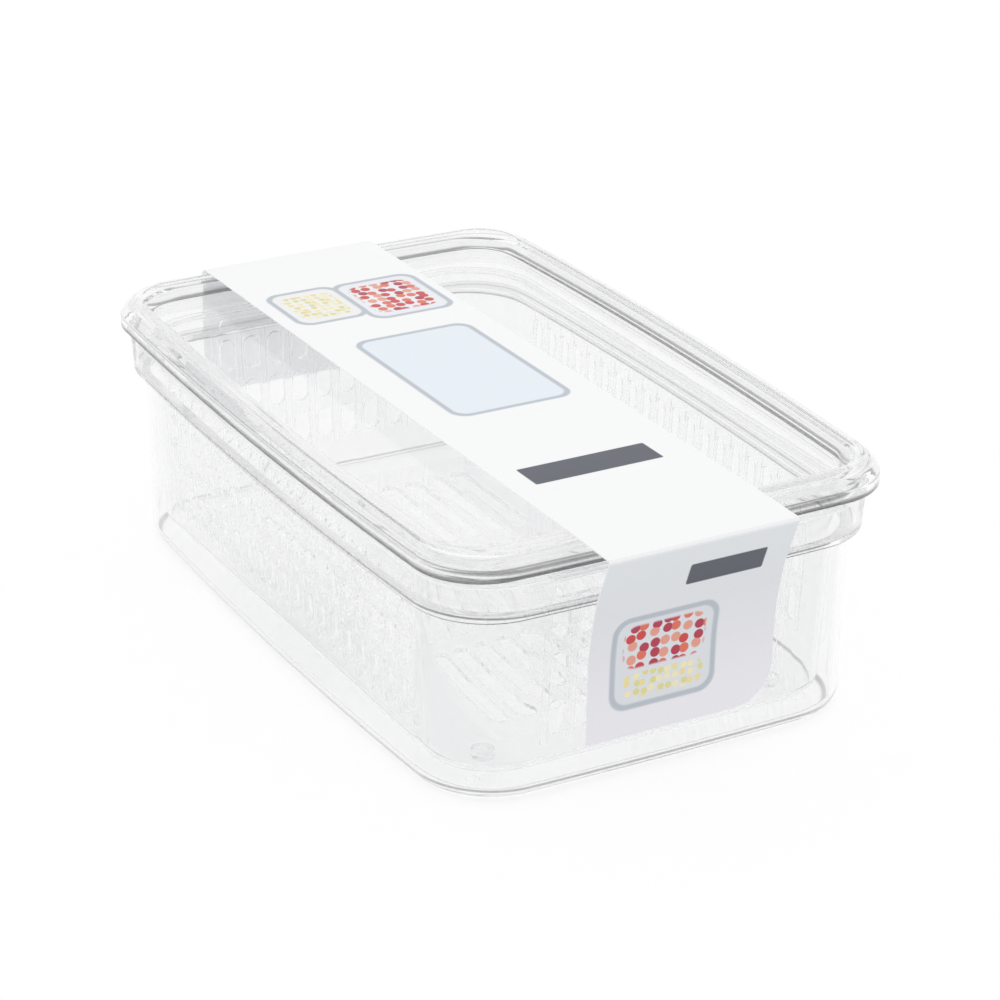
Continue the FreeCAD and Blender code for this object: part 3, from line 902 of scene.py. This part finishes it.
def make_sleeve(material):
    """Thin printed card with a flap at each end; one lower corner of each flap is rounded."""
    path = sleeve_path()
    lengths = [0.0]
    for (y0, z0), (y1, z1) in zip(path, path[1:]):
        lengths.append(lengths[-1] + math.hypot(y1 - y0, z1 - z0))
    fold = lengths[max(range(len(path)), key=lambda i: path[i][1] - path[i][0])]
    layers = ([], [])
    print_map = []
    for index, (y, z) in enumerate(path):
        before = path[max(index - 1, 0)]
        after = path[min(index + 1, len(path) - 1)]
        run = Vector((after[0] - before[0], after[1] - before[1])).normalized()
        centre = sleeve_centre(max(-LENGTH / 2 - FOLD_REACH, y))
        left = centre - SLEEVE_WIDTH / 2
        right = centre + SLEEVE_WIDTH / 2
        low = lengths[index]
        high = lengths[-1] - lengths[index]
        if low < FLAP_CORNER:
            right -= FLAP_CORNER - math.sqrt(FLAP_CORNER ** 2 - (FLAP_CORNER - low) ** 2)
        if high < FLAP_CORNER:
            left += FLAP_CORNER - math.sqrt(FLAP_CORNER ** 2 - (FLAP_CORNER - high) ** 2)
        for step in range(CARD_STEPS + 1):
            x = left + (right - left) * step / CARD_STEPS
            layers[0].append((x, y, z))
            layers[1].append((x, y - run.y * CARD, z + run.x * CARD))
            print_map.append(((x - centre) / PRINT_UNIT, (lengths[index] - fold) / PRINT_UNIT))
    width = CARD_STEPS + 1
    rows = len(path)
    offset = len(layers[0])
    faces = []
    for row in range(rows - 1):
        for step in range(CARD_STEPS):
            a = row * width + step
            faces.append((a, a + 1, a + 1 + width, a + width))
            faces.append(tuple(offset + i for i in (a, a + width, a + 1 + width, a + 1)))
        for a in (row * width, row * width + CARD_STEPS):
            faces.append((a, a + width, offset + a + width, offset + a))
    for step in range(CARD_STEPS):
        for a in (step, (rows - 1) * width + step):
            faces.append((a, a + 1, offset + a + 1, offset + a))
    piece = finished("printed_card_sleeve", layers[0] + layers[1], faces, material,
                     "card_sleeve", "card_sleeve", SHARP_THIN)
    spots = KDTree(2 * offset)
    for index, point in enumerate(layers[0] + layers[1]):
        spots.insert([c * MM for c in point], index)
    spots.balance()
    nearest = [spots.find(vertex.co)[1] for vertex in piece.data.vertices]
    layout = piece.data.uv_layers.new(name="print")
    for polygon in piece.data.polygons:
        printed = all(nearest[corner] >= offset for corner in polygon.vertices)
        for loop, corner in zip(polygon.loop_indices, polygon.vertices):
            layout.data[loop].uv = print_map[nearest[corner] % offset] if printed else PLAIN_SPOT
    return piece


def card_print():
    """White card with painted grey-blue shade on its front flap, plain slate bars, pale trays and patches
    of round fruit.
    """
    material, tree, shader = shader_sheet("printed card")
    nodes, links = tree.nodes, tree.links
    layout = nodes.new("ShaderNodeUVMap")
    layout.uv_map = "print"

    def plan(operation, first, second=None):
        step = nodes.new("ShaderNodeVectorMath")
        step.operation = operation
        for socket, value in zip(step.inputs, (first, second)):
            if value is None:
                continue
            if hasattr(value, "is_output"):
                links.new(value, socket)
            else:
                socket.default_value = value
        return step.outputs["Value" if operation == "LENGTH" else "Vector"]

    def ranged(value, low, high, start, stop):
        spread = nodes.new("ShaderNodeMapRange")
        spread.interpolation_type = "SMOOTHSTEP"
        for label, number in (("From Min", low), ("From Max", high), ("To Min", start), ("To Max", stop)):
            spread.inputs[label].default_value = number
        links.new(value, spread.inputs["Value"])
        return spread.outputs["Result"]

    def times(first, second):
        product = nodes.new("ShaderNodeMath")
        product.operation = "MULTIPLY"
        links.new(first, product.inputs[0])
        links.new(second, product.inputs[1])
        return product.outputs["Value"]

    def rounded_field(centre, half, corner, soft=0.006):
        """One inside a rounded oblong of the print, zero outside."""
        away = plan("ABSOLUTE", plan("SUBTRACT", layout.outputs["UV"], (*centre, 0)))
        past = plan("MAXIMUM", plan("SUBTRACT", away, (half[0] - corner, half[1] - corner, 0)), (0, 0, 0))
        return ranged(plan("LENGTH", past), corner - soft, corner + soft, 1, 0)

    def laid_over(below, colour, mask):
        mix = nodes.new("ShaderNodeMix")
        mix.data_type = "RGBA"
        links.new(mask, mix.inputs["Factor"])
        links.new(below, mix.inputs[MIX_FIRST])
        if hasattr(colour, "is_output"):
            links.new(colour, mix.inputs[MIX_SECOND])
        else:
            mix.inputs[MIX_SECOND].default_value = (*colour, 1)
        return mix.outputs[MIX_RESULT]

    def fruit(scale, colours, size):
        """Round fruit of mixed colours: their colour and where they are."""
        dots = nodes.new("ShaderNodeTexVoronoi")
        dots.voronoi_dimensions = "2D"
        dots.inputs["Scale"].default_value = scale
        dots.inputs["Randomness"].default_value = 0.45
        links.new(layout.outputs["UV"], dots.inputs["Vector"])
        pick = nodes.new("ShaderNodeSeparateColor")
        links.new(dots.outputs["Color"], pick.inputs["Color"])
        ramp = nodes.new("ShaderNodeValToRGB")
        ramp.color_ramp.interpolation = "CONSTANT"
        stops = ramp.color_ramp.elements
        while len(stops) < len(colours):
            stops.new(0.5)
        for index, colour in enumerate(colours):
            stops[index].position = index / len(colours)
            stops[index].color = (*colour, 1)
        links.new(pick.outputs["Red"], ramp.inputs["Fac"])
        return ramp.outputs["Color"], ranged(dots.outputs["Distance"], size - 0.06, size + 0.02, 1, 0)

    along = nodes.new("ShaderNodeSeparateXYZ")
    links.new(layout.outputs["UV"], along.inputs["Vector"])
    # Painted shade: the front flap is grey-blue, a little lighter towards its foot, and turns to white card
    # at the fold; the strip and the back flap stay white
    card_white_and_flap_shade = nodes.new("ShaderNodeValToRGB")
    painted_flap_shade = ((0.0, (0.86, 0.85, 0.90)), (0.35, (0.82, 0.82, 0.85)), (0.7, (0.78, 0.80, 0.83)),
              (0.9985, (0.80, 0.83, 0.86)), (1.0, (0.94, 0.945, 0.95)))
    while len(card_white_and_flap_shade.color_ramp.elements) < len(painted_flap_shade):
        card_white_and_flap_shade.color_ramp.elements.new(0.5)
    for stop, (place, colour) in zip(card_white_and_flap_shade.color_ramp.elements, painted_flap_shade):
        stop.position = place
        stop.color = (*colour, 1)
    links.new(ranged(along.outputs["Y"], -0.8, 0.01, 0, 1), card_white_and_flap_shade.inputs["Fac"])
    colour = card_white_and_flap_shade.outputs["Color"]

    slate = (0.075, 0.085, 0.11)
    pale = (0.80, 0.86, 0.92)
    reds = ((0.62, 0.05, 0.05), (0.75, 0.16, 0.10), (0.80, 0.34, 0.26), (0.45, 0.03, 0.07))
    yellows = ((0.86, 0.74, 0.34), (0.90, 0.82, 0.52), (0.76, 0.70, 0.30))
    red_fruit, red_spots = fruit(22.0, reds, 0.46)
    yellow_fruit, yellow_spots = fruit(30.0, yellows, 0.42)
    tray_edge = (0.50, 0.54, 0.60)
    edge_width = 0.022
    trays = (((0.02, 1.78), (0.24, 0.42), pale),
             ((0.16, 2.62), (0.17, 0.2), (0.84, 0.86, 0.9)),
             ((-0.17, 2.66), (0.14, 0.17), (0.88, 0.88, 0.88)),
             ((-0.08, -0.50), (0.2, 0.17), (0.74, 0.77, 0.81)))
    for centre, half, shade in trays:
        outer = (half[0] + edge_width, half[1] + edge_width)
        colour = laid_over(colour, tray_edge, rounded_field(centre, outer, 0.07))
        colour = laid_over(colour, shade, rounded_field(centre, half, 0.055))
    for centre, half in (((0.16, 2.62), (0.14, 0.16)), ((-0.08, -0.44), (0.17, 0.09))):
        colour = laid_over(colour, red_fruit, times(red_spots, rounded_field(centre, half, 0.05)))
    for centre, half in (((-0.17, 2.66), (0.11, 0.13)), ((-0.08, -0.60), (0.17, 0.05))):
        colour = laid_over(colour, yellow_fruit, times(yellow_spots, rounded_field(centre, half, 0.04)))
    for centre, half in (((-0.02, 0.74), (0.27, 0.075)), ((0.13, -0.16), (0.16, 0.05))):
        colour = laid_over(colour, slate, rounded_field(centre, half, 0.008, 0.003))
    links.new(colour, shader.inputs["Base Color"])
    links.new(cloudy(tree, CARD_GRAIN_SCALE, 0.32, 0.42), shader.inputs["Roughness"])
    return material


make_tub()
make_basket()
make_lid()
make_sleeve(card_print())


# Stage, light and camera

FLOOR_REACH = 6.0
FLOOR_SHADE = 0.25
FLOOR_GLOW = 0.55
FLOOR_GLOW_SEEN = 0.76


def seen_rays(tree, socket, unseen, seen):
    """Sets a strength for rays that end in the picture, directly or through gloss and clear plastic."""
    path = tree.nodes.new("ShaderNodeLightPath")
    either = path.outputs["Is Camera Ray"]
    for kind in ("Is Glossy Ray", "Is Transmission Ray"):
        most = tree.nodes.new("ShaderNodeMath")
        most.operation = "MAXIMUM"
        tree.links.new(either, most.inputs[0])
        tree.links.new(path.outputs[kind], most.inputs[1])
        either = most.outputs["Value"]
    spread = tree.nodes.new("ShaderNodeMapRange")
    spread.inputs["To Min"].default_value = unseen
    spread.inputs["To Max"].default_value = seen
    tree.links.new(either, spread.inputs["Value"])
    tree.links.new(spread.outputs["Result"], socket)


def make_floor():
    """White table top that runs out of view."""
    corners = [(x * FLOOR_REACH, y * FLOOR_REACH, 0) for x, y in ((-1, -1), (1, -1), (1, 1), (-1, 1))]
    mesh = bpy.data.meshes.new("table top")
    mesh.from_pydata(corners, [], [(0, 1, 2, 3)])
    floor = bpy.data.objects.new("table top", mesh)
    bpy.context.scene.collection.objects.link(floor)
    material, tree, shader = shader_sheet("white table")
    shader.inputs["Base Color"].default_value = (FLOOR_SHADE, FLOOR_SHADE, FLOOR_SHADE, 1)
    shader.inputs["Roughness"].default_value = 1.0
    shader.inputs["Specular IOR Level"].default_value = 0.0
    seen_rays(tree, shader.inputs["Emission Strength"], FLOOR_GLOW, FLOOR_GLOW_SEEN)
    shader.inputs["Emission Color"].default_value = (1, 1, 1, 1)
    mesh.materials.append(material)


def light_world():
    """White studio, slightly darker towards the horizon."""
    world = bpy.data.worlds.new("white studio")
    bpy.context.scene.world = world
    world.use_nodes = True
    nodes, links = world.node_tree.nodes, world.node_tree.links
    place = nodes.new("ShaderNodeTexCoord")
    split = nodes.new("ShaderNodeSeparateXYZ")
    rise = nodes.new("ShaderNodeMapRange")
    rise.interpolation_type = "SMOOTHSTEP"
    for label, number in (("From Min", 0.0), ("From Max", 0.3), ("To Min", 0.9), ("To Max", 1.0)):
        rise.inputs[label].default_value = number
    links.new(place.outputs["Generated"], split.inputs["Vector"])
    links.new(split.outputs["Z"], rise.inputs["Value"])
    nodes["Background"].inputs["Color"].default_value = (1, 1, 1, 1)
    links.new(rise.outputs["Result"], nodes["Background"].inputs["Strength"])


def set_camera():
    """Camera at the photograph's place."""
    azimuth = math.radians(CAMERA_AZIMUTH)
    elevation = math.radians(CAMERA_ELEVATION)
    roll = math.radians(CAMERA_ROLL)
    back = Vector((math.sin(azimuth) * math.cos(elevation), -math.cos(azimuth) * math.cos(elevation),
                   math.sin(elevation)))
    right = (-back).cross(Vector((0, 0, 1))).normalized()
    up = right.cross(-back)
    turned_right = right * math.cos(roll) + up * math.sin(roll)
    turned_up = up * math.cos(roll) - right * math.sin(roll)
    eye = (Vector(CAMERA_TARGET) + back * CAMERA_DISTANCE) * MM
    lens = bpy.data.cameras.new("photo camera")
    lens.sensor_width = CAMERA_SENSOR
    lens.lens = CAMERA_LENS
    lens.clip_end = CAMERA_FAR
    camera = bpy.data.objects.new("photo camera", lens)
    bpy.context.scene.collection.objects.link(camera)
    camera.matrix_world = Matrix((
        (turned_right.x, turned_up.x, back.x, eye.x),
        (turned_right.y, turned_up.y, back.y, eye.y),
        (turned_right.z, turned_up.z, back.z, eye.z),
        (0, 0, 0, 1)))
    bpy.context.scene.camera = camera


make_floor()
light_world()
set_camera()
bpy.context.scene.view_settings.view_transform = "Standard"
light_paths = bpy.context.scene.cycles
light_paths.max_bounces = LIGHT_BOUNCES
light_paths.transmission_bounces = LIGHT_BOUNCES
light_paths.glossy_bounces = LIGHT_BOUNCES
light_paths.blur_glossy = 0.0
